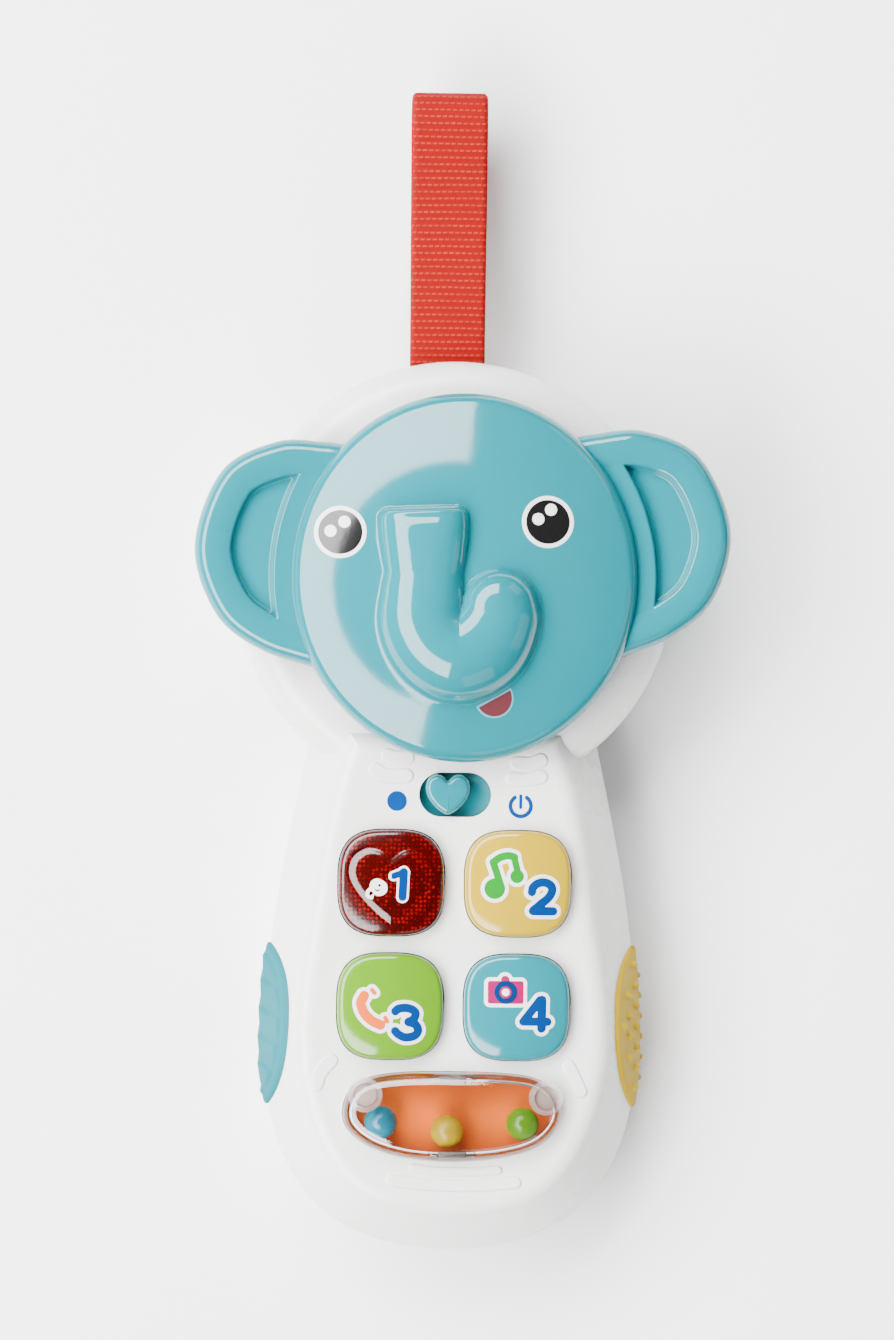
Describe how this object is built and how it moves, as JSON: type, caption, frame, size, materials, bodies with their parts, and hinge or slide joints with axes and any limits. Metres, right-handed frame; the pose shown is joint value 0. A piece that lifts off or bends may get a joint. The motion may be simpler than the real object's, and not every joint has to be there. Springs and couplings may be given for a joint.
{
  "type": "toy cell phone",
  "caption": "Toy phone for a small child with a swinging elephant face over a play mirror, press keys, a sliding power switch, a window of sliding beads, grip pads and a webbing strap.",
  "frame": {"origin": "on the back's resting face, on the body's centre line, 45.2 mm below the centre of the round head", "axes": "+X to the phone's right, +Y along the body towards the strap, +Z out of the front"},
  "size_m": [0.1068, 0.232, 0.0445],
  "materials": {
    "white_plastic": "satin moulded",
    "cyan_plastic": "glossy moulded",
    "red_clear_plastic": "glossy translucent",
    "yellow_plastic": "glossy moulded",
    "green_plastic": "glossy moulded",
    "orange_plastic": "glossy moulded",
    "bead_blue_plastic": "glossy moulded",
    "clear_plastic": "clear glossy",
    "blue_rubber": "matte soft",
    "yellow_rubber": "matte soft",
    "red_webbing": "woven polyester",
    "mirror_film": "polished",
    "steel": "zinc plated",
    "silicone": "matte translucent",
    "board_green": "solder mask",
    "chip_black": "epoxy",
    "speaker_paper": "paper",
    "cell_wrap": "printed film on the can",
    "light_clear": "clear"
  },
  "bodies": {
    "housing": {"rear_housing": "white_plastic", "front_housing": "white_plastic", "housing_screws": "steel", "strap_bar": "steel", "pivot_wave_washer": "steel", "pivot_washer": "steel", "pivot_screw": "steel", "tray_screws": "steel", "board_screws": "steel", "speaker": "steel", "battery_contacts": "steel", "battery_springs": "steel", "slide_switch": "steel", "grip_pad_left": "blue_rubber", "grip_pad_right": "yellow_rubber", "strap": "red_webbing", "mirror": "mirror_film", "bead_tray": "orange_plastic", "window_cover": "clear_plastic", "key_dome_1": "silicone", "key_dome_2": "silicone", "key_dome_3": "silicone", "key_dome_4": "silicone", "control_chip": "chip_black", "main_board": "board_green", "key_light": "light_clear", "speaker_cone": "speaker_paper", "battery_left": "cell_wrap", "battery_right": "cell_wrap"},
    "face": {"face_cover": "cyan_plastic", "face_back": "cyan_plastic"},
    "power_slider": {"switch_slider": "cyan_plastic", "switch_lever": "chip_black"},
    "battery_hatch": {"battery_door": "white_plastic", "door_screw": "steel"},
    "key_1_cap": {"key_1": "red_clear_plastic"},
    "key_2_cap": {"key_2": "yellow_plastic"},
    "key_3_cap": {"key_3": "green_plastic"},
    "key_4_cap": {"key_4": "cyan_plastic"},
    "blue_bead": {"bead_blue": "bead_blue_plastic"},
    "yellow_bead": {"bead_yellow": "yellow_plastic"},
    "green_bead": {"bead_green": "green_plastic"}
  },
  "joints": [
    {"name": "face_swing", "type": "hinge", "parent": "housing", "child": "face", "pos_m": [0, 0.0745, 0.0264], "axis": [0, 0, 1], "range_deg": [-92.4, 87.6]},
    {"name": "key_1_press", "type": "slide", "parent": "housing", "child": "key_1_cap", "axis": [0, 0, -1], "range_m": [0, 0.0015], "stiffness_N_per_m": 600, "springref_m": -0.0004, "deforming": ["key_dome_1"]},
    {"name": "key_2_press", "type": "slide", "parent": "housing", "child": "key_2_cap", "axis": [0, 0, -1], "range_m": [0, 0.0015], "stiffness_N_per_m": 600, "springref_m": -0.0004, "deforming": ["key_dome_2"]},
    {"name": "key_3_press", "type": "slide", "parent": "housing", "child": "key_3_cap", "axis": [0, 0, -1], "range_m": [0, 0.0015], "stiffness_N_per_m": 600, "springref_m": -0.0004, "deforming": ["key_dome_3"]},
    {"name": "key_4_press", "type": "slide", "parent": "housing", "child": "key_4_cap", "axis": [0, 0, -1], "range_m": [0, 0.0015], "stiffness_N_per_m": 600, "springref_m": -0.0004, "deforming": ["key_dome_4"]},
    {"name": "power_slide", "type": "slide", "parent": "housing", "child": "power_slider", "axis": [1, 0, 0], "range_m": [0, 0.003]},
    {"name": "blue_bead_roll", "type": "slide", "parent": "housing", "child": "blue_bead", "axis": [1, 0, 0], "range_m": [-0.0012, 0.0028]},
    {"name": "yellow_bead_roll", "type": "slide", "parent": "housing", "child": "yellow_bead", "axis": [1, 0, 0], "range_m": [-0.0028, 0.0034]},
    {"name": "green_bead_roll", "type": "slide", "parent": "housing", "child": "green_bead", "axis": [1, 0, 0], "range_m": [-0.0038, 0.0012]},
    {"name": "hatch_open", "type": "hinge", "parent": "housing", "child": "battery_hatch", "pos_m": [0, -0.024, 0.0012], "axis": [1, 0, 0], "range_deg": [0, 75]}
  ]
}
